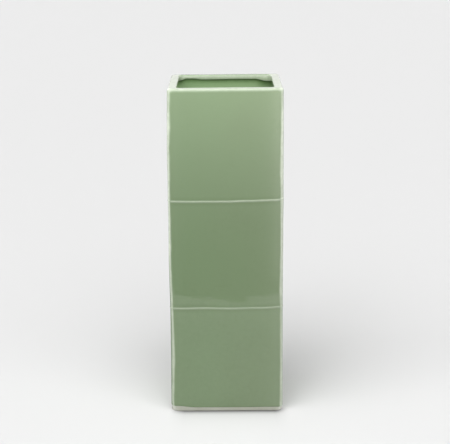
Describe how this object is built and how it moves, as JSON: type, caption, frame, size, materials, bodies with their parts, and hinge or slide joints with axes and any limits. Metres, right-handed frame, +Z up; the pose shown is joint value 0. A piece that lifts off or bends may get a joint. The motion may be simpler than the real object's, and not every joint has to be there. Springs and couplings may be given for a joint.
{
  "type": "vase",
  "caption": "Tall square stoneware vase with a slab rim round a square mouth, glazed green, with raised pale seam lines framing square panels.",
  "frame": {"origin": "middle of the flat underside, on the surface that the vase stands on", "axes": "+Z up along the vase's long axis, front towards -Y, +X to the right seen from the front"},
  "size_m": [0.106, 0.106, 0.305],
  "materials": {
    "stoneware": "fired, unglazed, fine grog",
    "seam_slip": "gloss glaze worn thin over pale slip",
    "celadon_glaze": "gloss, slightly mottled",
    "rim_glaze": "gloss, breaking pale along its edges"
  },
  "bodies": {
    "root": {"floor_slab": "stoneware", "front_tile_lower": "stoneware", "right_tile_lower": "stoneware", "back_tile_lower": "stoneware", "left_tile_lower": "stoneware", "front_tile_middle": "stoneware", "right_tile_middle": "stoneware", "back_tile_middle": "stoneware", "left_tile_middle": "stoneware", "front_tile_upper": "stoneware", "right_tile_upper": "stoneware", "back_tile_upper": "stoneware", "left_tile_upper": "stoneware", "rim_frame": "stoneware", "floor_coil": "stoneware", "corner_coils": "stoneware", "corner_seam_slip": "seam_slip", "lower_seam_slip": "seam_slip", "upper_seam_slip": "seam_slip", "foot_seam_slip": "seam_slip", "rim_seam_slip": "seam_slip", "front_glaze": "celadon_glaze", "right_glaze": "celadon_glaze", "back_glaze": "celadon_glaze", "left_glaze": "celadon_glaze", "inner_glaze": "celadon_glaze", "rim_glaze": "rim_glaze"}
  },
  "joints": []
}
